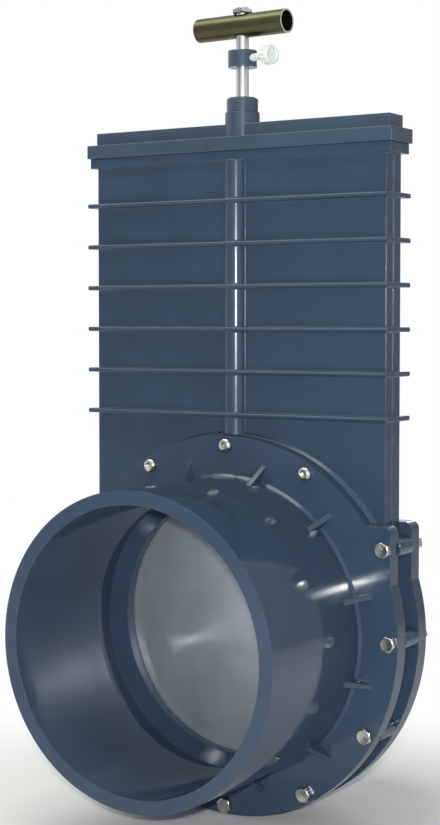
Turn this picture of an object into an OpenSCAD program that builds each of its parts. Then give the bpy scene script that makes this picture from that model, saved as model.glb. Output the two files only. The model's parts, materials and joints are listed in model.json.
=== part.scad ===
// Slide gate valve for a 250 mm plastic pressure pipe.
// Two glued pipe sockets are bolted on either side of a flat ribbed housing,
// and a steel blade hung on a pull rod slides up out of the bore.
// Sizes are millimetres. +Z is up along the rod, the pipe runs along Y, and
// the origin is the centre of the front socket's mouth.

/* [Pipe sockets] */
// outside diameter of the pipe that is glued in
pipe_d = 250; // [200:1:315]
// radial play between pipe and socket
pipe_play = 0.2; // [0.05:0.05:0.5]
// wall of the socket
socket_wall = 12.5; // [8:0.5:20]
// depth of the front socket, from the mouth to the stop
socket_depth = 150; // [100:1:180]
// depth of the shorter rear socket
rear_depth = 70; // [40:1:180]
// how far the pipe stop stands in from the socket wall
stop_h = 3.2; // [2:0.2:10]
// length of the undercut in front of the stop
relief_len = 27; // [10:0.5:30]
// depth of the undercut at the stop
relief_h = 7; // [1:0.5:8]

/* [Socket flanges] */
// how far the round flange stands out of the housing
flange_out = 20; // [16:0.5:40]
// thickness of the flange
flange_t = 15; // [10:0.5:25]
// how far an ear stands out of the housing
ear_out = 12.5; // [10:0.5:18]
// height of the ear tops over the pipe axis
ear_top = 102; // [95:1:115]
// rounding of the ear corners
ear_corner_r = 7; // [3:0.5:12]
// bevel in the corner between socket and flange
root_fillet = 2.5; // [1:0.5:8]
// number of gussets between socket and flange
gusset_count = 12; // [6:2:16]
// thickness of one gusset
gusset_t = 4.5; // [3:0.5:8]
// radial leg of a gusset along the flange
gusset_rise = 17; // [8:1:22]
// leg of a gusset along the socket
gusset_run = 20; // [8:1:40]

/* [Fasteners] */
// distance of the bolt circle from the edge of the flange
bolt_edge = 8.5; // [6:0.5:10]
// distance of an ear bolt from the side of its ear
ear_bolt_in = 6.5; // [5:0.5:8]
// distance of an ear bolt from the top of its ear
ear_bolt_drop = 20.5; // [12:0.5:24]
// thread diameter of the bolts
bolt_d = 8; // [6:1:10]
// width across the flats of heads and nuts
hex_af = 13; // [10:0.5:17]
// height of a bolt head
head_h = 5.5; // [4:0.5:8]
// height of a nut
nut_h = 6.5; // [5:0.5:9]
// thread that shows behind a nut
thread_end = 4; // [1:0.5:10]
// play around a bolt in its hole
bolt_play = 0.5; // [0.25:0.25:1]
// diameter of the round screw heads over the housing
screw_head_d = 13; // [10:0.5:16]
// height of the round screw heads
screw_head_h = 5; // [3:0.5:8]
// thread diameter of those screws
screw_d = 6; // [4:0.5:8]
// grip of those screws in the housing wall
screw_grip = 3; // [2:0.5:4]
// room at the tip of those screws
screw_tip = 0.2; // [0.1:0.1:0.5]
// play around those screws, radial
screw_play = 0.1; // [0.05:0.05:0.3]

/* [Housing] */
// thickness of the housing, both halves together
body_t = 27; // [24:0.5:40]
// wall at each side of the blade room
side_wall = 11; // [6:0.5:14]
// bevel along the parting line
parting_bevel = 1.2; // [0.4:0.2:2]
// diameter of a bolt lug on the housing edge
lug_d = 18; // [14:0.5:22]
// width of the web behind a lug
lug_web = 14; // [8:0.5:20]
// how far that web is rooted in the housing
lug_root = 6.5; // [3:0.5:10]
// number of stiffening ribs over the flange
rib_count = 6; // [3:1:7]
// distance from rib to rib
rib_pitch = 39.2; // [30:0.2:42]
// height of the lowest rib over the top of the flange
rib_clear = 19; // [10:0.5:30]
// thickness of a rib
rib_t = 4.2; // [3:0.2:6]
// how far a rib stands out in front and behind
rib_reach = 10; // [5:0.5:16]
// how far a rib stands out at the sides
rib_side = 5; // [2:0.5:8]
// diameter of the half round spine over the rod
spine_d = 22; // [20:0.5:30]
// how far the spine stands out of the wall
spine_reach = 9; // [6:0.5:10]
// height of the lip that centres the flange
lip_h = 3.5; // [2:0.5:6]
// gap between that lip and the flange
lip_gap = 0.2; // [0.1:0.1:0.5]

/* [Top rails] */
// how far the rail that ends the housing stands out at the sides
rail_over = 5.75; // [2:0.25:12]
// how far that rail stands out in front and behind
rail_lip = 4.25; // [2:0.25:8]
// height of that rail
rail_h = 9.4; // [5:0.2:14]
// height of that rail's underside over the top rib
rail_gap = 36.3; // [20:0.1:50]
// how far the cap plate stands out of the rail at the sides
cap_over = 2; // [1:0.25:6]
// how far the cap plate stands out of the rail in front and behind
cap_lip = 2.75; // [1:0.25:6]
// height of the cap plate
cap_h = 12.4; // [8:0.2:18]
// step from the ends of the cap plate to the bar on it
bar_step = 6; // [3:0.5:8]
// step from the front of the cap plate to the bar, and the same behind
bar_set = 7.5; // [3:0.5:9]
// height of the bar on the cap
bar_h = 12; // [8:0.5:16]
// diameter of the gland boss on the cap
boss_d = 32.5; // [26:0.5:36]
// height of the gland boss
boss_h = 23; // [16:0.5:32]

/* [Gate and rod] */
// thickness of the blade
blade_t = 4; // [3:0.5:5]
// play between a blade face and the housing wall
blade_play = 1; // [0.5:0.25:1.5]
// clear distance around the edge of the blade
blade_edge_gap = 5; // [3:0.5:8]
// how far the blade covers the wall beside the flow bore
blade_lap = 17; // [14:0.5:24]
// height of the blade's straight top over its round end
blade_rise = 29; // [20:0.5:31]
// diameter of the pull rod
rod_d = 12; // [10:0.5:14]
// running play of the rod in the gland, radial
rod_play = 0.06; // [0.02:0.01:0.1]
// free space around the rod in the housing, radial
rod_room = 1.5; // [1:0.25:2]
// overlap of the slotted rod end with the blade
rod_grip = 25; // [15:1:30]
// thickness of a seat seal
seal_w = 8; // [5:0.5:10]
// distance of a seat seal from the flow bore
seal_in = 4; // [2:0.5:6]
// depth of the seal groove
seal_groove = 5; // [3:0.5:6]
// play between a seat seal and the blade
seal_play = 0.5; // [0.3:0.1:0.8]
// play between a seat seal and its groove walls
seal_fit = 0.1; // [0.05:0.05:0.3]

/* [Gland, collar and handle] */
// diameter of the gland bush
bush_d = 29.5; // [24:0.5:31]
// height of the gland bush over the boss
bush_h = 13.6; // [8:0.2:20]
// diameter of the bush's spigot in the boss
spigot_d = 20; // [16:0.5:22]
// length of the spigot
spigot_h = 18; // [10:0.5:30]
// play around the spigot, radial
spigot_fit = 0.1; // [0.05:0.05:0.3]
// diameter of the lock collar
collar_d = 27; // [22:0.5:32]
// height of the lock collar
collar_h = 15; // [12:0.5:22]
// height of the lock collar over the gland bush
collar_gap = 27.8; // [20:0.2:40]
// play of collar, nuts and handle on the rod, radial
slip = 0.1; // [0.05:0.05:0.3]
// thread of the thumbscrew
thumb_d = 6; // [5:0.5:8]
// gap between the thumbscrew's tip and the rod
thumb_tip = 0.3; // [0.1:0.1:1]
// diameter of the thumbscrew's head
thumb_head_d = 17.5; // [14:0.5:22]
// length of the thumbscrew's head
thumb_head_h = 10; // [6:0.5:14]
// distance of the head from the collar
thumb_neck = 18; // [6:0.5:24]
// direction of the thumbscrew, in degrees from +X towards the back
thumb_turn = -18; // [-60:1:60]
// outside diameter of the handle tube
handle_d = 22; // [18:0.5:28]
// wall of the handle tube
handle_wall = 1.5; // [1:0.25:3]
// length of the handle tube
handle_len = 97; // [80:1:140]
// gap between the lock collar and the handle tube
handle_gap = 12; // [6:0.5:20]
// direction of the handle, in degrees from +X towards the back
handle_turn = -3; // [-45:1:45]
// width across the flats of the handle nut
rod_nut_af = 18; // [16:0.5:21]
// rod end that shows over the handle nut
rod_end = 1; // [0.5:0.5:4]
// height of the nut on top of the handle
rod_nut_h = 4.5; // [3:0.5:10]

/* [Hidden] */
$fn = 96;
eps = 0.01;
half_t = body_t / 2;
socket_r = pipe_d / 2 + pipe_play;
socket_or = socket_r + socket_wall;
flow_r = socket_r - stop_h;
blade_half_w = flow_r + blade_lap;
blade_top = blade_half_w + blade_rise;
slot_half = blade_t / 2 + blade_play;
room_half_w = blade_half_w + blade_edge_gap;
body_half_w = room_half_w + side_wall;
body_w = 2 * body_half_w;
seal_ri = flow_r + seal_in;
seal_ro = seal_ri + seal_w;
flange_r = body_half_w + flange_out;
face_y = half_t + flange_t;
mouth_y = face_y + socket_depth;
ear_half_w = body_half_w + ear_out;
bolt_r = bolt_d / 2;
hole_r = bolt_r + bolt_play;
screw_hole_r = screw_d / 2 + screw_play;
bolt_circle_r = flange_r - bolt_edge;
ear_bolt_x = ear_half_w - ear_bolt_in;
ear_bolt_z = ear_top - ear_bolt_drop;
lug_len = bolt_circle_r - body_half_w + lug_root;
rib_low_z = flange_r + rib_clear;
rail_z = rib_low_z + (rib_count - 1) * rib_pitch + rail_gap;
rail_w = body_w + 2 * rail_over;
rail_d = body_t + 2 * rail_lip;
cap_w = rail_w + 2 * cap_over;
cap_d = rail_d + 2 * cap_lip;
bar_w = cap_w - 2 * bar_step;
bar_d = cap_d - 2 * bar_set;
body_top = rail_z + rail_h;
cap_top = body_top + cap_h;
boss_top = cap_top + boss_h;
bush_top = boss_top + bush_h;
rod_r = rod_d / 2;
channel_r = rod_r + rod_room;
rod_low = blade_top - rod_grip;
collar_z = bush_top + collar_gap;
collar_top = collar_z + collar_h;
collar_mid = collar_z + collar_h / 2;
handle_r = handle_d / 2;
handle_z = collar_top + handle_gap + handle_r;
rod_top = handle_z + handle_r + rod_nut_h + rod_end;
thumb_r = thumb_d / 2;
// through bolts: two in the ears and seven round the lower half
bolt_at = concat(
  [[ear_bolt_x, ear_bolt_z], [-ear_bolt_x, ear_bolt_z]],
  [for (k = [0:6]) [bolt_circle_r * cos(-30 * k), bolt_circle_r * sin(-30 * k)]]);
// direction in which each lug points away from the housing
lug_turn = concat([0, 180], [for (k = [0:6]) -30 * k]);
// screws over the blade room, which hold the flange to the housing wall only
screw_at = [for (a = [60, 90, 120]) [bolt_circle_r * cos(a), bolt_circle_r * sin(a)]];

// The valve is drawn about its blade plane and moved so that the mouth is at 0.
module placed() {
  translate([0, mouth_y, 0]) children();
}

// A flat shape in x and z, drawn from the plane y = from for a length h to the front.
module slab(h, from = 0) {
  translate([0, from, 0]) rotate([90, 0, 0]) linear_extrude(h) children();
}

// A bar along the pipe axis at [x, z], from the plane y = from for a length h to the front.
module pin(at, r, h, from = 0) {
  translate([at[0], from, at[1]]) rotate([90, 0, 0]) cylinder(r = r, h = h);
}

// A cone about the pipe axis, from radius ra at y = from to rb at a length h to the front.
module pin_cone(ra, rb, h, from) {
  translate([0, from, 0]) rotate([90, 0, 0]) cylinder(r1 = ra, r2 = rb, h = h);
}

module hex(af, h) {
  cylinder(d = af / cos(30), h = h, $fn = 6);
}

// Front view of a housing half, smaller all round by the inset.
module housing_outline(inset) {
  translate([-body_half_w + inset, 0]) square([body_w - 2 * inset, rail_z + 1]);
  circle(r = body_half_w - inset);
}

// Front view of the lugs that carry the through bolts, each on a web from the housing edge.
module lug_outline() {
  for (i = [0:len(bolt_at) - 1])
    translate(bolt_at[i]) {
      circle(d = lug_d);
      rotate(lug_turn[i]) translate([-lug_len, -lug_web / 2]) square([lug_len, lug_web]);
    }
}

// Side view of a rib, with a round front edge.
module rib_section() {
  nose = half_t + rib_reach - rib_t / 2;
  translate([-nose, -rib_t / 2]) square([nose, rib_t]);
  translate([-nose, 0]) circle(d = rib_t);
}

// Sloping lip on the housing wall that centres the flange over the ears.
module lip() {
  r = flange_r + lip_gap;
  intersection() {
    difference() {
      pin_cone(r + lip_h + 1, r, lip_h + 1, -half_t + 1);
      pin([0, 0], r, 3 * lip_h, -half_t);
    }
    translate([-body_half_w, -half_t - lip_h, ear_top + lip_gap])
      cube([body_w, half_t + lip_h, 2 * flange_r]);
  }
}

module housing_shell() {
  slab(half_t - parting_bevel, -parting_bevel) housing_outline(0);
  slab(parting_bevel) housing_outline(parting_bevel);
  slab(half_t) lug_outline();
  for (k = [0:rib_count - 1])
    translate([-body_half_w - rib_side, 0, rib_low_z + k * rib_pitch])
      rotate([90, 0, 90]) linear_extrude(body_w + 2 * rib_side) rib_section();
  lip();
  translate([-rail_w / 2, -rail_d / 2, rail_z]) cube([rail_w, rail_d / 2, rail_h]);
  spine();
}

// Half round cover over the rod, cut off where the flange stands.
module spine() {
  difference() {
    translate([0, -half_t - spine_reach + spine_d / 2, bolt_circle_r - 5])
      cylinder(d = spine_d, h = rail_z - bolt_circle_r + 6);
    pin([0, 0], flange_r + lip_gap, 4 * spine_d, -half_t);
    translate([-spine_d, 0, 0]) cube([2 * spine_d, spine_d, 2 * rail_z]);
  }
}

module housing_half() {
  difference() {
    housing_shell();
    slab(slot_half + eps, eps) {
      translate([-room_half_w, 0]) square([2 * room_half_w, body_top + 1]);
      circle(r = room_half_w);
    }
    pin([0, 0], flow_r, half_t + 2, 1);
    translate([0, 0, rod_low - 4]) cylinder(r = channel_r, h = body_top);
    difference() {
      pin([0, 0], seal_ro + seal_fit, seal_groove + slot_half);
      pin([0, 0], seal_ri - seal_fit, half_t, 1);
    }
    for (at = bolt_at) pin(at, hole_r, half_t + 2, 1);
    for (at = screw_at) pin(at, screw_hole_r, screw_grip + 1 + screw_tip, -half_t + screw_grip + screw_tip);
  }
}

module front_body() color("slategray") placed() housing_half();

module rear_body() color("slategray") placed() mirror([0, 1, 0]) housing_half();

// Front view of a flange: the disc and two ears with rounded outer corners.
module flange_outline() {
  circle(r = flange_r, $fn = 180);
  translate([-ear_half_w, 0]) square([2 * ear_half_w, ear_top - ear_corner_r]);
  translate([-ear_half_w + ear_corner_r, 0]) square([2 * (ear_half_w - ear_corner_r), ear_top]);
  for (s = [-1, 1])
    translate([s * (ear_half_w - ear_corner_r), ear_top - ear_corner_r]) circle(r = ear_corner_r);
}

// Three cornered rib in the corner between socket and flange.
module gusset() {
  translate([0, 0, -gusset_t / 2])
    linear_extrude(gusset_t)
      polygon([
        [socket_or - 2, -face_y + 1],
        [socket_or + gusset_rise, -face_y + 1],
        [socket_or + gusset_rise, -face_y],
        [socket_or, -face_y - gusset_run],
        [socket_or - 2, -face_y - gusset_run]]);
}

// Flange and socket of the given depth, one moulding. The flow bore opens in a cone that
// stops the pipe, and the socket is undercut in front of it.
module socket(depth) {
  difference() {
    union() {
      slab(flange_t, -half_t) flange_outline();
      pin([0, 0], socket_or, depth + 1, -face_y + 1);
      pin_cone(socket_or + root_fillet, socket_or, root_fillet, -face_y);
      for (k = [0:gusset_count - 1])
        rotate([0, -(k + 0.5) * 360 / gusset_count, 0]) gusset();
    }
    pin([0, 0], flow_r, face_y + 1, 0);
    pin_cone(flow_r, socket_r + relief_h, flange_t, -half_t);
    pin([0, 0], socket_r, depth + 1, -face_y);
    pin_cone(socket_r + relief_h, socket_r, relief_len, -face_y);
    for (at = bolt_at) pin(at, hole_r, face_y, -half_t + 1);
    for (at = screw_at) pin(at, screw_hole_r, face_y, -half_t + 1);
  }
}

module front_socket() color("slategray") placed() socket(socket_depth);

module rear_socket() color("slategray") placed() mirror([0, 1, 0]) socket(rear_depth);

// Cap plate, bar and gland boss, one moulding.
module top_cap() color("lightslategray") placed() {
  difference() {
    union() {
      translate([-cap_w / 2, -cap_d / 2, body_top]) cube([cap_w, cap_d, cap_h]);
      translate([-bar_w / 2, -bar_d / 2, cap_top - 1]) cube([bar_w, bar_d, bar_h + 1]);
      translate([0, 0, cap_top - 1]) cylinder(d = boss_d, h = boss_h + 1);
    }
    translate([0, 0, body_top - 1]) cylinder(r = channel_r, h = cap_h + boss_h + 2);
    translate([0, 0, boss_top - spigot_h - 0.5])
      cylinder(d = spigot_d + 2 * spigot_fit, h = spigot_h + 2);
  }
}

// Flanged guide bush that carries the rod.
module gland_bush() color("slategray") placed() {
  difference() {
    union() {
      translate([0, 0, boss_top]) cylinder(d = bush_d, h = bush_h - 1.5);
      translate([0, 0, boss_top + bush_h - 1.5])
        cylinder(d1 = bush_d, d2 = bush_d - 3, h = 1.5);
      translate([0, 0, boss_top - spigot_h]) cylinder(d = spigot_d, h = spigot_h + 1);
    }
    translate([0, 0, boss_top - spigot_h - 1])
      cylinder(r = rod_r + rod_play, h = spigot_h + bush_h + 2);
  }
}

// Rubber ring that the blade slides against.
module seat_seal() {
  difference() {
    pin([0, 0], seal_ro, slot_half + seal_groove - blade_t / 2 - seal_play, -blade_t / 2 - seal_play);
    pin([0, 0], seal_ri, half_t, 1);
  }
}

module front_seal() color("dimgray") placed() seat_seal();

module rear_seal() color("dimgray") placed() mirror([0, 1, 0]) seat_seal();

// Blade with a round lower end.
module gate_blade() color("silver") placed() {
  slab(blade_t, blade_t / 2) {
    translate([-blade_half_w, 0]) square([2 * blade_half_w, blade_top]);
    circle(r = blade_half_w, $fn = 180);
  }
}

// Rod with a slotted lower end that is welded over the blade's top edge.
module pull_rod() color("silver") placed() {
  difference() {
    translate([0, 0, rod_low]) cylinder(r = rod_r, h = rod_top - rod_low);
    translate([-rod_d, -blade_t / 2, rod_low - 1]) cube([2 * rod_d, blade_t, rod_grip + 1]);
  }
}

module handle_tube() color("silver") placed() {
  translate([0, 0, handle_z]) rotate([0, 0, handle_turn]) difference() {
    rotate([0, 90, 0]) cylinder(r = handle_r, h = handle_len, center = true);
    rotate([0, 90, 0]) cylinder(r = handle_r - handle_wall, h = handle_len + 2, center = true);
    cylinder(r = rod_r + slip, h = 2 * handle_d, center = true);
  }
}

module handle_nut() color("silver") placed() {
  translate([0, 0, handle_z + handle_r]) difference() {
    hex(rod_nut_af, rod_nut_h);
    translate([0, 0, -1]) cylinder(r = rod_r + slip, h = rod_nut_h + 2);
  }
}

// Stop ring on the rod, clamped by the thumbscrew.
module lock_collar() color("lightslategray") placed() {
  difference() {
    translate([0, 0, collar_z]) cylinder(d = collar_d, h = collar_h);
    translate([0, 0, collar_z - 1]) cylinder(r = rod_r + slip, h = collar_h + 2);
    translate([0, 0, collar_mid]) rotate([0, 0, thumb_turn]) rotate([0, 90, 0])
      cylinder(r = thumb_r + slip, h = collar_d);
  }
}

module thumb_screw() color("white") placed() {
  translate([0, 0, collar_mid]) rotate([0, 0, thumb_turn]) rotate([0, 90, 0]) {
    translate([0, 0, rod_r + thumb_tip])
      cylinder(r = thumb_r, h = collar_d / 2 + thumb_neck - rod_r);
    translate([0, 0, collar_d / 2 + thumb_neck]) cylinder(d = thumb_head_d, h = thumb_head_h);
  }
}

// Through bolt with its head on the front flange.
module flange_bolt(i) color("gainsboro") placed() {
  at = bolt_at[i - 1];
  translate([at[0], -face_y, at[1]]) rotate([90, 0, 0]) hex(hex_af, head_h);
  pin(at, bolt_r, 2 * face_y + nut_h + thread_end + 1, face_y + nut_h + thread_end);
}

module flange_nut(i) color("gainsboro") placed() {
  at = bolt_at[i - 1];
  translate([at[0], face_y, at[1]]) rotate([-90, 0, 0]) difference() {
    hex(hex_af, nut_h);
    translate([0, 0, -1]) cylinder(r = bolt_r + slip, h = nut_h + 2);
  }
}

// Round headed screw over the blade room.
module wall_screw(i) {
  at = screw_at[i - 1];
  pin(at, screw_head_d / 2, screw_head_h, -face_y);
  pin(at, screw_d / 2, flange_t + screw_grip + 1, -half_t + screw_grip);
}

module front_screw(i) color("gainsboro") placed() wall_screw(i);

module rear_screw(i) color("gainsboro") placed() mirror([0, 1, 0]) wall_screw(i);

front_body();
rear_body();
front_socket();
rear_socket();
top_cap();
gland_bush();
front_seal();
rear_seal();
gate_blade();
pull_rod();
handle_tube();
handle_nut();
lock_collar();
thumb_screw();
for (i = [1:9]) flange_bolt(i);
for (i = [1:9]) flange_nut(i);
for (i = [1:3]) front_screw(i);
for (i = [1:3]) rear_screw(i);
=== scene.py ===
# %% [markdown]
# # Slide gate valve
# A steel blade slides up and down between two plastic housing halves, and a glued
# pipe socket sits on either side. The construction model already has every piece at
# its real size. This lesson dresses it: it loads those pieces, gives each a finish, and
# swaps the small fasteners for ones with chamfers, threads and sockets. Everything is in
# metres, in the frame of the construction model, so nothing has to be fitted by eye.

# %% Load the pieces
import json
import math

import bmesh
import bpy
from mathutils import Matrix, Vector


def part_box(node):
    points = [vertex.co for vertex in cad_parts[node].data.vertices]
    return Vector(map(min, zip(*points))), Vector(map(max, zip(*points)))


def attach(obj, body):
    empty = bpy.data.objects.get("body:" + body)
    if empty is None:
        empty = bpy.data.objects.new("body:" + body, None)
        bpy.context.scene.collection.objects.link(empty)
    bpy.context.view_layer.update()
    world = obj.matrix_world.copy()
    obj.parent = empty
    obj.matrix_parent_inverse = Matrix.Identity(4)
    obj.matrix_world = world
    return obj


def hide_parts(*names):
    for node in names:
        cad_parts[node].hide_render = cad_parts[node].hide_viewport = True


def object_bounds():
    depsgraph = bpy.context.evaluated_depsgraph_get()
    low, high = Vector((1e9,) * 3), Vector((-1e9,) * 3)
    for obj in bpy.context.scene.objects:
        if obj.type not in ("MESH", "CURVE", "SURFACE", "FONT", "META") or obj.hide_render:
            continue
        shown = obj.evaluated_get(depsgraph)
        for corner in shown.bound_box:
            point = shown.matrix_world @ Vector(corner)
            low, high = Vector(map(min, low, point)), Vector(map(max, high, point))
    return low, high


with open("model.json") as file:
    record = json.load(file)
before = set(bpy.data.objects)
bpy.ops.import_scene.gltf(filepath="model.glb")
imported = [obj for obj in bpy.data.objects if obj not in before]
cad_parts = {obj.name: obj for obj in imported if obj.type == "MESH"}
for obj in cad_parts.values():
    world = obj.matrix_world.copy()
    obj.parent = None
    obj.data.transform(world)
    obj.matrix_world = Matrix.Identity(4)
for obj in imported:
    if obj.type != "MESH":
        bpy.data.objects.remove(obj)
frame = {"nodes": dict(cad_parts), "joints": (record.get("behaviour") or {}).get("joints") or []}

cad_low, cad_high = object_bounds()
nodes = frame["nodes"]

# %% [markdown]
# ## The camera
# The photograph was taken a little to the right of the valve's axis and a little above
# it. The camera could be placed by eye, but straight edges and round rims in the picture
# are enough to work it out, and then every rim falls where it should. The focal length is
# known in pixels, so it is turned into millimetres of a 36 mm sensor along the tall side.
# A small shift puts the optical centre where the cropped photograph has it.

# %% Set the camera
IMAGE_W, IMAGE_H = 440, 825
FOCAL_PX = 1674.1
CENTRE_PX = (218.4, 403.6)
CAMERA_AT = Vector((0.8112, -1.1450, 0.2798))
YAW, PITCH = math.radians(32.33), math.radians(2.817)
SENSOR_MM = 36.0

lens = bpy.data.cameras.new("valve_camera")
lens.sensor_width = SENSOR_MM
lens.lens = FOCAL_PX / IMAGE_H * SENSOR_MM
lens.shift_x = (IMAGE_W / 2 - CENTRE_PX[0]) / IMAGE_H
lens.shift_y = (CENTRE_PX[1] - IMAGE_H / 2) / IMAGE_H
camera = bpy.data.objects.new("valve_camera", lens)
bpy.context.scene.collection.objects.link(camera)
towards_camera = Vector((
    math.sin(YAW) * math.cos(PITCH), -math.cos(YAW) * math.cos(PITCH), math.sin(PITCH)))
camera.location = CAMERA_AT
camera.rotation_euler = towards_camera.to_track_quat("Z", "Y").to_euler()
bpy.context.scene.camera = camera
bpy.context.scene.view_settings.view_transform = "Standard"
print("lens", round(lens.lens, 2), "mm")

# %% [markdown]
# ## Small helpers for node trees
# A finish is a small tree of nodes. Writing each node out in full would take many lines,
# so six helpers do what every finish needs: feed a socket with a number or another
# node, make noise at a given grain, stretch a range of values, mix two colours, do sums,
# and measure how far one direction runs along another.

# %% Feed, noise and spread
def feed(tree, socket, value):
    """Link another node's output to the socket, or set the socket to a constant."""
    if isinstance(value, bpy.types.NodeSocket):
        tree.links.new(value, socket)
    else:
        socket.default_value = value


def noise(tree, where, scale, detail=3.0, stretch=(1, 1, 1)):
    """Soft random values from 0 to 1, with about `scale` grains to the metre."""
    mapping = tree.nodes.new("ShaderNodeMapping")
    mapping.inputs["Scale"].default_value = stretch
    feed(tree, mapping.inputs["Vector"], where)
    node = tree.nodes.new("ShaderNodeTexNoise")
    feed(tree, node.inputs["Vector"], mapping.outputs["Vector"])
    node.inputs["Scale"].default_value = scale
    node.inputs["Detail"].default_value = detail
    return node.outputs["Fac"]


def spread(tree, value, low, high, new_low, new_high):
    """Map low..high to new_low..new_high with a soft start and end, clamped beyond them."""
    node = tree.nodes.new("ShaderNodeMapRange")
    node.interpolation_type = "SMOOTHSTEP"
    feed(tree, node.inputs["Value"], value)
    for name, number in (("From Min", low), ("From Max", high),
                         ("To Min", new_low), ("To Max", new_high)):
        node.inputs[name].default_value = number
    return node.outputs["Result"]


print("three helpers ready")

# %% Mix, maths and along
def mix(tree, share, first, second):
    """Colour `first` where share is 0 and `second` where it is 1."""
    node = tree.nodes.new("ShaderNodeMix")
    node.data_type = "RGBA"
    feed(tree, node.inputs[0], share)
    feed(tree, node.inputs[6], first)
    feed(tree, node.inputs[7], second)
    return node.outputs[2]


def maths(tree, operation, *values):
    """One step of arithmetic on numbers or on the outputs of other nodes."""
    node = tree.nodes.new("ShaderNodeMath")
    node.operation = operation
    for socket, value in zip(node.inputs, values):
        feed(tree, socket, value)
    return node.outputs[0]


def along(tree, vector, axis):
    """How far a vector runs along an axis."""
    node = tree.nodes.new("ShaderNodeVectorMath")
    node.operation = "DOT_PRODUCT"
    feed(tree, node.inputs[0], vector)
    feed(tree, node.inputs[1], axis)
    return node.outputs["Value"]


print("six helpers ready")

# %% [markdown]
# ## White for the eye, grey for the light
# The valve is shown on white. A backdrop could be lit until it is white, but that light
# would also spill on the dark plastic. So the white is there only for the rays that the
# camera sends and for the mirror rays that leave shiny faces, while all other rays meet
# a softer grey sky. The Light Path node tells the two kinds of ray apart.

# %% Ray helpers
def seen_ray(tree):
    """1 for rays of the camera, mirrors and glass, 0 for the rest."""
    path = tree.nodes.new("ShaderNodeLightPath")
    value = path.outputs["Is Camera Ray"]
    for other in ("Is Glossy Ray", "Is Transmission Ray"):
        value = maths(tree, "MAXIMUM", value, path.outputs[other])
    return value


def choose(tree, share, first, second, target):
    """Send shader `first` to the target where share is 0, and `second` where it is 1."""
    node = tree.nodes.new("ShaderNodeMixShader")
    feed(tree, node.inputs[0], share)
    feed(tree, node.inputs[1], first)
    feed(tree, node.inputs[2], second)
    feed(tree, target, node.outputs[0])


print("ray helpers ready")

# %% [markdown]
# ## The studio around the valve
# As in a real studio, two dim flags stand far off in the white, where the flat plates and
# the side of the socket would mirror it. Without them the dark plastic looks milky. They
# could be planes with a material, but a colour that depends on the direction needs no
# meshes and fades out softly to both sides. The ceiling is pale.

# %% Colour the studio
WHITE = (1.0, 1.0, 1.0, 1.0)
DIM_FLAG = (0.42, 0.42, 0.44, 1.0)
FLAG_HALF, FLAG_END = 0.15, 0.5
CEILING = (0.72, 0.80, 0.72, 1.0)
CEILING_FROM, CEILING_TO = 0.3, 0.8
past_flags = Vector((math.cos(YAW), -math.sin(YAW), 0.0))


def studio_colour(tree, where):
    """White, with a dim flag where the plates mirror the camera and one opposite, pale overhead."""
    unit = tree.nodes.new("ShaderNodeVectorMath")
    unit.operation = "NORMALIZE"
    feed(tree, unit.inputs[0], where)
    way = unit.outputs["Vector"]
    past = maths(tree, "ABSOLUTE", along(tree, way, past_flags))
    wall = mix(tree, spread(tree, past, FLAG_HALF, FLAG_END, 1.0, 0.0), WHITE, DIM_FLAG)
    height = along(tree, way, (0, 0, 1))
    return mix(tree, spread(tree, height, CEILING_FROM, CEILING_TO, 0.0, 1.0), wall, CEILING)


print("flags of", DIM_FLAG[0], "in the white")

# %% Hang the sky
SKY_LIGHT = 0.29
SKY_COLOUR = (0.97, 0.98, 1.0, 1.0)

world = bpy.data.worlds.new("studio")
world.use_nodes = True
bpy.context.scene.world = world
sky_tree = world.node_tree
sky_tree.nodes.clear()
sky = sky_tree.nodes.new("ShaderNodeBackground")
sky.inputs["Color"].default_value = SKY_COLOUR
sky.inputs["Strength"].default_value = SKY_LIGHT
backdrop = sky_tree.nodes.new("ShaderNodeBackground")
sky_way = sky_tree.nodes.new("ShaderNodeTexCoord")
feed(sky_tree, backdrop.inputs["Color"], studio_colour(sky_tree, sky_way.outputs["Generated"]))
sky_out = sky_tree.nodes.new("ShaderNodeOutputWorld")
choose(sky_tree, seen_ray(sky_tree), sky.outputs[0], backdrop.outputs[0], sky_out.inputs["Surface"])
print("sky light", SKY_LIGHT)

# %% [markdown]
# ## The floor
# Near the valve the floor is a plain pale sheet, so that it takes the shadow. Further out
# it glows white for the same rays as the backdrop, and far away it takes on the flags,
# so that no line shows where the floor ends. A plane that is very large puts that end
# at the horizon from every side.

# %% Lay the floor
FLOOR_HALF = 100.0
FLOOR_GAP = 0.001

floor_z = cad_low.z - FLOOR_GAP
floor_mesh = bpy.data.meshes.new("studio_floor")
floor_mesh.from_pydata(
    [(x, y, floor_z) for x, y in ((-1, -1), (1, -1), (1, 1), (-1, 1))], [], [(0, 1, 2, 3)])
floor_mesh.transform(Matrix.Diagonal((FLOOR_HALF, FLOOR_HALF, 1, 1)))
floor = bpy.data.objects.new("studio_floor", floor_mesh)
bpy.context.scene.collection.objects.link(floor)
print("floor at", round(floor_z, 4), "m")

# %% Paper for the floor
FLOOR_COLOUR = (0.86, 0.86, 0.86, 1.0)
FADE_FROM, FADE_TO = 0.18, 0.5
FLAGS_FROM, FLAGS_TO = 0.8, 3.0

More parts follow.
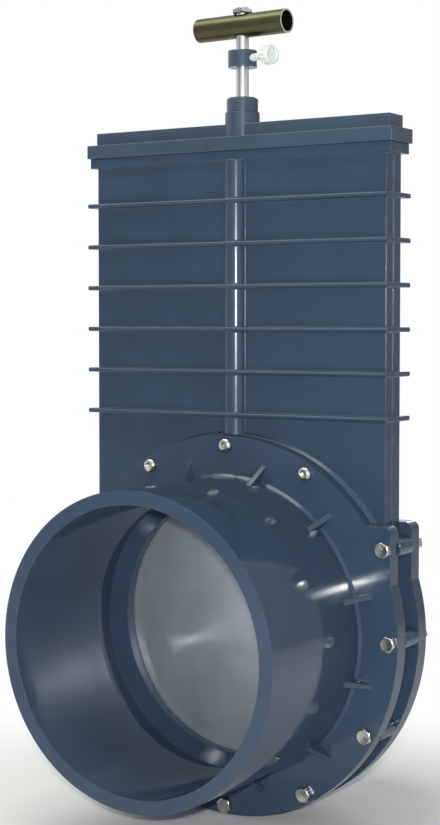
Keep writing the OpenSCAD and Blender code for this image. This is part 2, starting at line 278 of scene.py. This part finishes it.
paper = bpy.data.materials.new("pale_paper")
paper.use_nodes = True
paper_tree = paper.node_tree
paper_tree.nodes.clear()
sheet = paper_tree.nodes.new("ShaderNodeBsdfDiffuse")
sheet.inputs["Color"].default_value = FLOOR_COLOUR
glow = paper_tree.nodes.new("ShaderNodeEmission")
place = paper_tree.nodes.new("ShaderNodeNewGeometry")
valve_middle = (cad_low + cad_high) / 2
reach = paper_tree.nodes.new("ShaderNodeVectorMath")
reach.operation = "DISTANCE"
feed(paper_tree, reach.inputs[0], place.outputs["Position"])
feed(paper_tree, reach.inputs[1], (valve_middle.x, valve_middle.y, floor_z))
at_flags = spread(paper_tree, reach.outputs["Value"], FLAGS_FROM, FLAGS_TO, 0.0, 1.0)
far_floor = studio_colour(paper_tree, place.outputs["Position"])
feed(paper_tree, glow.inputs["Color"], mix(paper_tree, at_flags, WHITE, far_floor))
fade = spread(paper_tree, reach.outputs["Value"], FADE_FROM, FADE_TO, 0.0, 1.0)
paper_out = paper_tree.nodes.new("ShaderNodeOutputMaterial")
choose(paper_tree, maths(paper_tree, "MULTIPLY", fade, seen_ray(paper_tree)),
       sheet.outputs[0], glow.outputs[0], paper_out.inputs["Surface"])
floor_mesh.materials.append(paper)
print("paper fades to white at", FADE_TO, "m")

# %% [markdown]
# ## Lamps
# The bright streak in the corner between socket and flange is light that bounced off both
# walls and went back where it came from, so it shows that a small lamp stood close to
# the camera. A long soft box overhead fills in from above and from the left, and draws a
# thin bright line along the tops of ribs and rails. A weak lamp behind the valve keeps its
# rear side from going black. All stay at a plain level, at which a colour shows about as
# written.

# %% Hang the lamps
LAMP_OFF_CAMERA = Vector((-0.012, 0.0, 0.047))
LAMP_SIZE = (0.04, 0.03)
LAMP_POWER = 16.0
LAMP_AIM = Vector((0.0, 0.15, 0.15))
FILL_AT = Vector((-0.7, 2.0, 1.1))
FILL_SIZE = (0.9, 0.9)
FILL_POWER = 12.0
BOX_AT = Vector((-0.45, -0.35, 1.9))
BOX_SIZE = (1.9, 0.7)
BOX_POWER = 22.0
BOX_COLOUR = (0.98, 1.0, 0.88)
BOX_AIM = BOX_AT - Vector((0.0, 0.0, 1.0))


def hang(name, at, aim, size, power, colour):
    """A rectangular lamp at one point that shines at another."""
    lamp = bpy.data.lights.new(name, "AREA")
    lamp.color = colour
    lamp.shape = "RECTANGLE"
    lamp.size, lamp.size_y = size
    lamp.energy = power
    stand = bpy.data.objects.new(name, lamp)
    bpy.context.scene.collection.objects.link(stand)
    stand.location = at
    stand.rotation_euler = (at - aim).to_track_quat("Z", "Y").to_euler()


hang("camera_lamp", CAMERA_AT + LAMP_OFF_CAMERA, LAMP_AIM, LAMP_SIZE, LAMP_POWER, WHITE[:3])
hang("soft_box", BOX_AT, BOX_AIM, BOX_SIZE, BOX_POWER, BOX_COLOUR)
hang("back_fill", FILL_AT, LAMP_AIM, FILL_SIZE, FILL_POWER, WHITE[:3])
print("lamps", LAMP_POWER, "W,", BOX_POWER, "W and", FILL_POWER, "W")

# %% [markdown]
# ## Soft edges
# Moulded plastic and turned steel have no knife edges, and a thin bright line runs along
# every rounded corner. The pieces could be bevelled as meshes, but they are the exact
# solids and stay as they are. A Bevel node rounds the shading instead: it looks a
# millimetre or two around each point and averages the normals. Where that average differs
# from the true normal there is an edge, which also tells where a finish is worn.

# %% Edge and bump helpers
EDGE_SAMPLES = 8
AGREE_FLAT, AGREE_EDGE = 0.995, 0.8


def soft_edge(tree, radius):
    """The rounded normal, and a value that is 1 on a sharp edge and 0 on a flat."""
    bevel = tree.nodes.new("ShaderNodeBevel")
    bevel.samples = EDGE_SAMPLES
    bevel.inputs["Radius"].default_value = radius
    rounded = bevel.outputs["Normal"]
    flat = tree.nodes.new("ShaderNodeNewGeometry").outputs["Normal"]
    agree = along(tree, rounded, flat)
    return rounded, spread(tree, agree, AGREE_FLAT, AGREE_EDGE, 0.0, 1.0)


def relief(tree, height, depth, normal):
    """A bump of the given depth in metres on top of a rounded normal."""
    node = tree.nodes.new("ShaderNodeBump")
    node.inputs["Distance"].default_value = depth
    feed(tree, node.inputs["Height"], height)
    feed(tree, node.inputs["Normal"], normal)
    return node.outputs["Normal"]


print("edges look", EDGE_SAMPLES, "ways")

# %% Finish helpers
def new_finish(name):
    """A new material, its tree, its shader, and the place on the piece in metres."""
    finish = bpy.data.materials.new(name)
    finish.use_nodes = True
    tree = finish.node_tree
    where = tree.nodes.new("ShaderNodeTexCoord").outputs["Object"]
    return finish, tree, tree.nodes["Principled BSDF"], where


def shade(colour, factor, lift=0.0):
    """A darker or lighter version of a colour."""
    return tuple(min(1.0, factor * c + lift) for c in colour) + (1.0,)


def dress(piece, finish):
    """Give a piece one finish all over."""
    piece.data.materials.clear()
    piece.data.materials.append(finish)


print("finish helpers ready")

# %% [markdown]
# ## Blue-grey pressure plastic
# Housing, sockets and cap are hard PVC of a dark blue-grey. A plain colour looks like a drawing,
# so three things are added, as on the real mouldings: faint cloudy patches a few
# centimetres wide where the melt flowed, a fine grain that breaks up the gloss, and edges
# that are rubbed a little paler. One function makes all three finishes: the sockets are
# as glossy as new pipe, the moulded housing is only half as smooth, and the cap with its
# small parts is painted a shade lighter, which stands in for the stronger light at the top.

# %% Plastic function
CLOUDS_PER_M = 17.0
GRAIN_PER_M = 1900.0
GRAIN_DEPTH = 0.000002
RUBS_PER_M = 60.0
RUB_STRETCH = (0.2, 1, 1.4)
GLOSS_SPREAD = 0.06


def pressure_plastic(name, colour, gloss, edge_radius, shine):
    """Moulded plastic with faint clouds, a fine grain and rubbed edges."""
    finish, tree, shader, where = new_finish(name)
    rounded, edge = soft_edge(tree, edge_radius)
    clouds = noise(tree, where, CLOUDS_PER_M, 4.0)
    grain = noise(tree, where, GRAIN_PER_M, 2.0)
    rubs = noise(tree, where, RUBS_PER_M, 6.0, RUB_STRETCH)
    cloudy = spread(tree, clouds, 0.3, 0.7, 0.0, 1.0)
    body = mix(tree, cloudy, shade(colour, 0.93), shade(colour, 1.06))
    wear = maths(tree, "MULTIPLY", edge, spread(tree, rubs, 0.42, 0.66, 0.1, 0.7))
    feed(tree, shader.inputs["Base Color"], mix(tree, wear, body, shade(colour, 1.7, 0.012)))
    rough = spread(tree, rubs, 0.35, 0.7, gloss, gloss + GLOSS_SPREAD)
    feed(tree, shader.inputs["Roughness"], rough)
    feed(tree, shader.inputs["Normal"], relief(tree, grain, GRAIN_DEPTH, rounded))
    shader.inputs["Specular IOR Level"].default_value = shine
    return finish


print("plastic recipe ready")

# %% Dress the plastic pieces
HOUSING_BLUE = (0.032, 0.058, 0.097)
FITTING_BLUE = (0.037, 0.060, 0.100)
# The cap blue is the housing blue painted lighter: painted light for the stronger light that falls on
# the cap and its small parts.
CAP_BLUE_PAINTED_LIGHT = (0.044, 0.070, 0.108)
housing_pvc = pressure_plastic("housing_pvc", HOUSING_BLUE, gloss=0.19, edge_radius=0.002, shine=0.4)
fitting_pvc = pressure_plastic("fitting_pvc", FITTING_BLUE, gloss=0.07, edge_radius=0.0008, shine=0.32)
# The cap finish is a painted lighter copy of the plastic, standing in for light from above.
cap_pvc_painted_light = pressure_plastic("cap_pvc_painted_light", CAP_BLUE_PAINTED_LIGHT, gloss=0.22, edge_radius=0.0018, shine=0.4)
plastic_pieces = {
    "front_body": housing_pvc, "rear_body": housing_pvc,
    "top_cap": cap_pvc_painted_light, "gland_bush": cap_pvc_painted_light, "lock_collar": cap_pvc_painted_light,
    "front_socket": fitting_pvc, "rear_socket": fitting_pvc}
for name, finish in plastic_pieces.items():
    dress(nodes[name], finish)
print("plastic on", len(plastic_pieces), "pieces")

# %% [markdown]
# ## Rubber seats
# A black ring lies in each housing wall and wipes the blade. Only its edge can be seen,
# deep in the bore. Dull roughness and a coarse grain are enough to tell it from plastic.

# %% Rubber finish
RUBBER_BLACK = (0.008, 0.008, 0.009, 1.0)
RUBBER_DUSTY = (0.022, 0.022, 0.023, 1.0)

seal_rubber, tree, shader, where = new_finish("seal_rubber")
dust = noise(tree, where, 300.0, 5.0)
feed(tree, shader.inputs["Base Color"], mix(tree, dust, RUBBER_BLACK, RUBBER_DUSTY))
feed(tree, shader.inputs["Roughness"], spread(tree, dust, 0.3, 0.7, 0.55, 0.75))
feed(tree, shader.inputs["Normal"], relief(tree, dust, 0.0001, soft_edge(tree, 0.0006)[0]))
for name in ("front_seal", "rear_seal"):
    dress(nodes[name], seal_rubber)
print("rubber on 2 pieces")

# %% [markdown]
# ## Steel finishes
# All steel parts share one recipe: a grey metal whose roughness and bump come from noise
# that is stretched along the direction in which the piece was worked. The blade is sheet
# that was brushed upright, the rod is drawn bar, and the handle is drawn tube coloured a
# dark olive, bare where it was sawn off. The ends are found by their normal,
# which points along the tube. Otherwise only numbers differ: colour, gloss, stretch, depth
# of the scratches, and how much of the light the metal itself mirrors.

# %% Steel function
BARE_STEEL = (0.80, 0.80, 0.78, 1.0)
HAZE_PER_M = 28.0
SCRATCH_GLOSS = 0.14


def worked_steel(name, colour, gloss, stretch, scratch_depth, edge_radius, metal=1.0, sawn=None):
    """Steel scratched along its working direction, bare on ends that face the sawn axis."""
    finish, tree, shader, where = new_finish(name)
    rounded, edge = soft_edge(tree, edge_radius)
    lines = noise(tree, where, 1.0, 3.0, stretch)
    haze = noise(tree, where, HAZE_PER_M, 4.0)
    hazy = spread(tree, haze, 0.3, 0.7, 0.0, 1.0)
    tone = mix(tree, hazy, shade(colour, 0.91), shade(colour, 1.05))
    tint = mix(tree, edge, tone, shade(colour, 1.25))
    if sawn:
        facing = tree.nodes.new("ShaderNodeNewGeometry").outputs["Normal"]
        end = maths(tree, "ABSOLUTE", along(tree, facing, sawn))
        tint = mix(tree, spread(tree, end, 0.7, 0.95, 0.0, 1.0), tint, BARE_STEEL)
    feed(tree, shader.inputs["Base Color"], tint)
    rough = spread(tree, lines, 0.25, 0.75, gloss, gloss + SCRATCH_GLOSS)
    feed(tree, shader.inputs["Roughness"], rough)
    feed(tree, shader.inputs["Normal"], relief(tree, lines, scratch_depth, rounded))
    shader.inputs["Metallic"].default_value = metal
    return finish


print("steel recipe ready")

# %% Dress the steel pieces
blade_steel = worked_steel(
    "blade_steel", (0.45, 0.50, 0.54), gloss=0.34, stretch=(1400, 1400, 9),
    scratch_depth=0.000003, edge_radius=0.0005, metal=0.75)
polished_steel = worked_steel(
    "polished_steel", (0.55, 0.55, 0.53), gloss=0.24, stretch=(700, 700, 5),
    scratch_depth=0.000003, edge_radius=0.0004)
handle_steel = worked_steel(
    "handle_steel", (0.105, 0.102, 0.056), gloss=0.3, stretch=(12, 900, 900),
    scratch_depth=0.000004, edge_radius=0.0004, sawn=(1, 0, 0))
bolt_steel = worked_steel(
    "bolt_steel", (0.52, 0.52, 0.50), gloss=0.17, stretch=(700, 700, 700),
    scratch_depth=0.000008, edge_radius=0.0006)
dress(nodes["gate_blade"], blade_steel)
dress(nodes["pull_rod"], polished_steel)
dress(nodes["handle_tube"], handle_steel)
print("steel on 3 pieces")

# %% [markdown]
# ## Skinning rings
# Bolts, nuts and the thumbscrew are turned shapes whose section changes along the axis:
# round, six sided, threaded or fluted. A lathe tool only makes round ones. Here a piece
# is a stack of rings with the same number of points, each with its own radius rule, and
# a skin of four sided faces joins ring to ring. The ends are closed, or the last ring is
# joined back to the first for a piece with a hole.

# %% Ring rules
STEPS = 48


def ring(radius, height):
    """Points round the axis; radius and height are numbers or rules of the angle."""
    points = []
    for k in range(STEPS):
        a = 2 * math.pi * k / STEPS
        r = radius(a) if callable(radius) else radius
        h = height(a) if callable(height) else height
        points.append((r * math.cos(a), r * math.sin(a), h))
    return points


def six_sided(flats):
    """Radius rule of a hexagon with the given width across its flats."""
    sixth = math.pi / 3
    return lambda a: flats / 2 / math.cos(a % sixth - sixth / 2)


def place_along(at, axis, turn=0.0):
    """A matrix that stands a piece at a point with its own z along the axis."""
    lean = Vector(axis).to_track_quat("Z", "Y").to_matrix().to_4x4()
    return Matrix.Translation(at) @ lean @ Matrix.Rotation(turn, 4, "Z")


print("rings of", STEPS, "points")

# %% Skin function
SHARP_ANGLE = math.radians(32)


def ring_faces(count, hole):
    """Four sided faces from ring to ring, and either two end caps or a closed loop."""
    faces = []
    for a in range(count if hole else count - 1):
        b = (a + 1) % count
        for k in range(STEPS):
            m = (k + 1) % STEPS
            faces.append((a * STEPS + k, a * STEPS + m, b * STEPS + m, b * STEPS + k))
    if not hole:
        faces.append(tuple(range(STEPS)))
        faces.append(tuple(range((count - 1) * STEPS, count * STEPS)))
    return faces


def skin(name, rings, matrix, finish, hole=False):
    """A dressed piece from a stack of rings, placed by the matrix."""
    mesh = bpy.data.meshes.new(name)
    mesh.from_pydata([p for points in rings for p in points], [], ring_faces(len(rings), hole))
    shape = bmesh.new()
    shape.from_mesh(mesh)
    bmesh.ops.recalc_face_normals(shape, faces=shape.faces)
    shape.to_mesh(mesh)
    shape.free()
    mesh.transform(matrix)
    mesh.shade_smooth()
    mesh.set_sharp_from_angle(angle=SHARP_ANGLE)
    piece = bpy.data.objects.new(name, mesh)
    bpy.context.scene.collection.objects.link(piece)
    dress(piece, finish)
    return piece


print("skin ready")

# %% [markdown]
# ## Hexagon bolts
# Nine bolts clamp both flanges on the housing. Their heads face the front, and a short
# threaded end stands behind each nut. On a real head the top corners are turned off at
# thirty degrees, which leaves a curved line on each flat: the ring where a flat meets
# that cone dips towards the corners. The face is dished a little, as forging leaves it.
# The thread is a ring radius that swings with the angle and the height, which makes a
# true spiral. Each bolt is turned a different way, as a fitter leaves them.

# %% Bolt shapes
HEX_FLATS = 0.013
CROWN_SHARE = 0.46
WASHER_SHARE = 0.48
WASHER_H = 0.0004
HEAD_H = 0.0055
HEAD_DISH = 0.0006
DISH_EDGE = 0.0001
BOLT_R = 0.004
BOLT_TAPER = 0.0009
THREAD_PITCH = 0.00125
THREAD_DEPTH = 0.0007
THREAD_LEN = 0.008
THREAD_ROWS = 5
CHAMFER = math.tan(math.radians(30))


def chamfered_top(flats, top, crown):
    """Height rule of the curved line that a thirty degree cone leaves on six flats."""
    rule = six_sided(flats)
    return lambda a: top - max(0.0, rule(a) - crown) * CHAMFER


def thread(r, start, end, pitch, depth):
    """Rings whose radius swings with angle and height, which makes a spiral."""
    rows = []
    count = round((end - start) / pitch * THREAD_ROWS)
    for i in range(count + 1):
        z = start + (end - start) * i / count
        rows.append(ring(
            lambda a, z=z: r - depth * abs(2 * ((z / pitch + a / (2 * math.pi)) % 1) - 1), z))
    return rows


def bolt_rings(length):
    """A bolt from its dished face down to its tip, with height 0 under the head."""
    crown = CROWN_SHARE * HEX_FLATS
    washer_r = WASHER_SHARE * HEX_FLATS
    flats = six_sided(HEX_FLATS)
    thread_top = -length + THREAD_LEN
    head = [ring(0.1 * crown, HEAD_H - HEAD_DISH), ring(0.85 * crown, HEAD_H - DISH_EDGE),
            ring(crown, HEAD_H), ring(flats, chamfered_top(HEX_FLATS, HEAD_H, crown)),
            ring(flats, WASHER_H), ring(washer_r, WASHER_H), ring(washer_r, 0.0)]
    shank = [ring(BOLT_R, 0.0), ring(BOLT_R, thread_top)]
    spiral = thread(BOLT_R, thread_top - 0.0002, -length + 0.0006, -THREAD_PITCH, THREAD_DEPTH)
    return head + shank + spiral + [ring(BOLT_R - BOLT_TAPER, -length)]


print("bolt heads", 1000 * HEX_FLATS, "mm across flats")

# %% Make the bolts
BOLT_TURN = math.radians(37)

bolt_count = 9
for i in range(1, bolt_count + 1):
    low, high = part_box(f"flange_bolt_{i}")
    middle = (low + high) / 2
    under_head = Vector((middle.x, low.y + HEAD_H, middle.z))
    bolt = skin(f"hex_bolt_{i}", bolt_rings(high.y - under_head.y),
                place_along(under_head, (0, -1, 0), BOLT_TURN * i), bolt_steel)
    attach(bolt, "housing")
    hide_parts(f"flange_bolt_{i}")
print("made", bolt_count, "bolts")

# %% [markdown]
# ## Nuts
# A nut is a ring with a hole, chamfered on both faces. The skin runs up the outside and
# back down through the hole, so the last ring is joined to the first. The same function
# makes the nine small nuts and the wide one that holds the handle on the rod.

# %% Make the flange nuts
NUT_PLAY = 0.0001
NUT_SINK = 0.0006


def nut_rings(flats, height, hole_r):
    """A nut from its lower face up the outside and back down through the hole."""
    crown = CROWN_SHARE * flats
    rule = six_sided(flats)
    top = chamfered_top(flats, height, crown)
    return [ring(crown, 0.0), ring(rule, lambda a: height - top(a)), ring(rule, top),
            ring(crown, height), ring(hole_r + NUT_SINK, height), ring(hole_r, height - NUT_SINK),
            ring(hole_r, NUT_SINK), ring(hole_r + NUT_SINK, 0.0)]


for i in range(1, bolt_count + 1):
    low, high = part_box(f"flange_nut_{i}")
    middle = (low + high) / 2
    seat = Vector((middle.x, low.y, middle.z))
    nut = skin(f"hex_nut_{i}", nut_rings(HEX_FLATS, high.y - low.y, BOLT_R + NUT_PLAY),
               place_along(seat, (0, 1, 0), -BOLT_TURN * i), bolt_steel, hole=True)
    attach(nut, "housing")
    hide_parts(f"flange_nut_{i}")
print("made", bolt_count, "flange nuts")

# %% Make the handle nut
low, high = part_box("handle_nut")
rod_low, rod_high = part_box("pull_rod")
rod_r = (rod_high.x - rod_low.x) / 2
seat = Vector(((low.x + high.x) / 2, (low.y + high.y) / 2, low.z))
top_nut = skin("handle_top_nut", nut_rings(high.y - low.y, high.z - low.z, rod_r + NUT_PLAY),
               place_along(seat, (0, 0, 1)), polished_steel, hole=True)
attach(top_nut, "gate")
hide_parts("handle_nut")
print("handle nut", round(1000 * (high.y - low.y), 1), "mm across flats")

# %% [markdown]
# ## Round headed screws
# Over the blade room no bolt can pass through, so three short screws hold each flange to
# its housing wall. They have domed heads with a six sided socket. The rings start at the
# bottom of that socket, climb its walls, cross the dome and run down the shank.

# %% Screw shape
SOCKET_FLATS = 0.005
SOCKET_DEPTH = 0.0028
SOCKET_EASE = 0.0003
SCREW_HEAD_H = 0.005
SCREW_R = 0.003
SCREW_TAPER = 0.0005
DOME_STEPS = 6


def screw_rings(head_r, head_h, length):
    """A screw from the bottom of its socket over the dome to its tip."""
    inner = six_sided(SOCKET_FLATS)
    rim = 0.62 * SOCKET_FLATS
    rings = [ring(inner, head_h - SOCKET_DEPTH), ring(inner, head_h - SOCKET_EASE), ring(rim, head_h)]
    dome_low = 0.35 * head_h
    for k in range(1, DOME_STEPS + 1):
        a = math.pi / 2 * k / DOME_STEPS
        rings.append(ring(rim + (head_r - rim) * math.sin(a),
                          dome_low + (head_h - dome_low) * math.cos(a)))
    rings += [ring(head_r, 0.0), ring(SCREW_R, 0.0), ring(SCREW_R, -length + SCREW_TAPER)]
    return rings + [ring(SCREW_R - SCREW_TAPER, -length)]


print("screw sockets", 1000 * SOCKET_FLATS, "mm across flats")

# %% Make the screws
screw_count = 0
for side, out in (("front", -1), ("rear", 1)):
    for i in (1, 2, 3):
        low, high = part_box(f"{side}_screw_{i}")
        middle = (low + high) / 2
        head_r = (high.x - low.x) / 2
        length = high.y - low.y - SCREW_HEAD_H
        seat_y = low.y + SCREW_HEAD_H if out < 0 else high.y - SCREW_HEAD_H
        screw = skin(f"{side}_round_screw_{i}", screw_rings(head_r, SCREW_HEAD_H, length),
                     place_along(Vector((middle.x, seat_y, middle.z)), (0, out, 0), BOLT_TURN * i),
                     bolt_steel)
        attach(screw, "housing")
        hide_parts(f"{side}_screw_{i}")
        screw_count += 1
print("made", screw_count, "screws")

# %% [markdown]
# ## Nylon thumbscrew
# A pale thumbscrew clamps the collar on the rod. Its head is fluted for the fingers, with
# a dished face. Nylon lets a little light in, so the finish scatters light just under
# the skin, which lifts the shadows between the flutes. The axis comes from the joint
# about which the screw turns.

# %% Nylon finish
NYLON_DEEP = (0.68, 0.75, 0.69, 1.0)
NYLON_PALE = (0.81, 0.87, 0.81, 1.0)

nylon, tree, shader, where = new_finish("nylon")
speck = noise(tree, where, 500.0, 4.0)
feed(tree, shader.inputs["Base Color"], mix(tree, speck, NYLON_DEEP, NYLON_PALE))
feed(tree, shader.inputs["Roughness"], spread(tree, speck, 0.3, 0.7, 0.34, 0.48))
feed(tree, shader.inputs["Normal"], relief(tree, speck, 0.00004, soft_edge(tree, 0.0005)[0]))
shader.inputs["Subsurface Weight"].default_value = 0.35
shader.inputs["Subsurface Radius"].default_value = (0.003, 0.003, 0.0025)
print("nylon ready")

# %% Make the thumbscrew
TIP_AT, NECK_AT, HEAD_AT, HEAD_END = 0.0063, 0.0142, 0.0315, 0.0415
SHANK_R = 0.003
SHANK_PITCH, SHANK_THREAD = 0.001, 0.0005
NECK_R = 0.0035
KNOB_R = 0.00875
KNOB_ROUND, KNOB_EASE = 0.0015, 0.0012
DISH_OUT, DISH_IN, DISH_DEPTH = 0.0028, 0.0036, 0.001
FLUTES = 16
FLUTE_DEPTH = 0.0007


def fluted(r):
    """Radius rule of a round knob with shallow finger grooves."""
    return lambda a: r - FLUTE_DEPTH * 0.5 * (1 - math.cos(FLUTES * a))


turn = next(j for j in frame["joints"] if j["name"] == "thumbscrew_turn")
rings = [ring(SHANK_R - 0.0006, TIP_AT)]
rings += thread(SHANK_R, TIP_AT + 0.0005, NECK_AT, SHANK_PITCH, SHANK_THREAD)
rings += [ring(NECK_R, NECK_AT + 0.0004), ring(NECK_R, HEAD_AT - 0.002)]
rings += [ring(NECK_R + KNOB_ROUND, HEAD_AT - 0.0002), ring(KNOB_R - KNOB_ROUND, HEAD_AT)]
rings += [ring(fluted(KNOB_R), HEAD_AT + KNOB_EASE), ring(fluted(KNOB_R), HEAD_END - KNOB_EASE)]
rings += [ring(KNOB_R - KNOB_ROUND, HEAD_END), ring(KNOB_R - DISH_OUT, HEAD_END)]
rings += [ring(KNOB_R - DISH_IN, HEAD_END - DISH_DEPTH)]
thumb = skin("nylon_thumbscrew", rings, place_along(Vector(turn["pos_m"]), turn["axis"]), nylon)
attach(thumb, "clamp_screw")
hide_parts("thumb_screw")
print("thumbscrew with", FLUTES, "flutes")
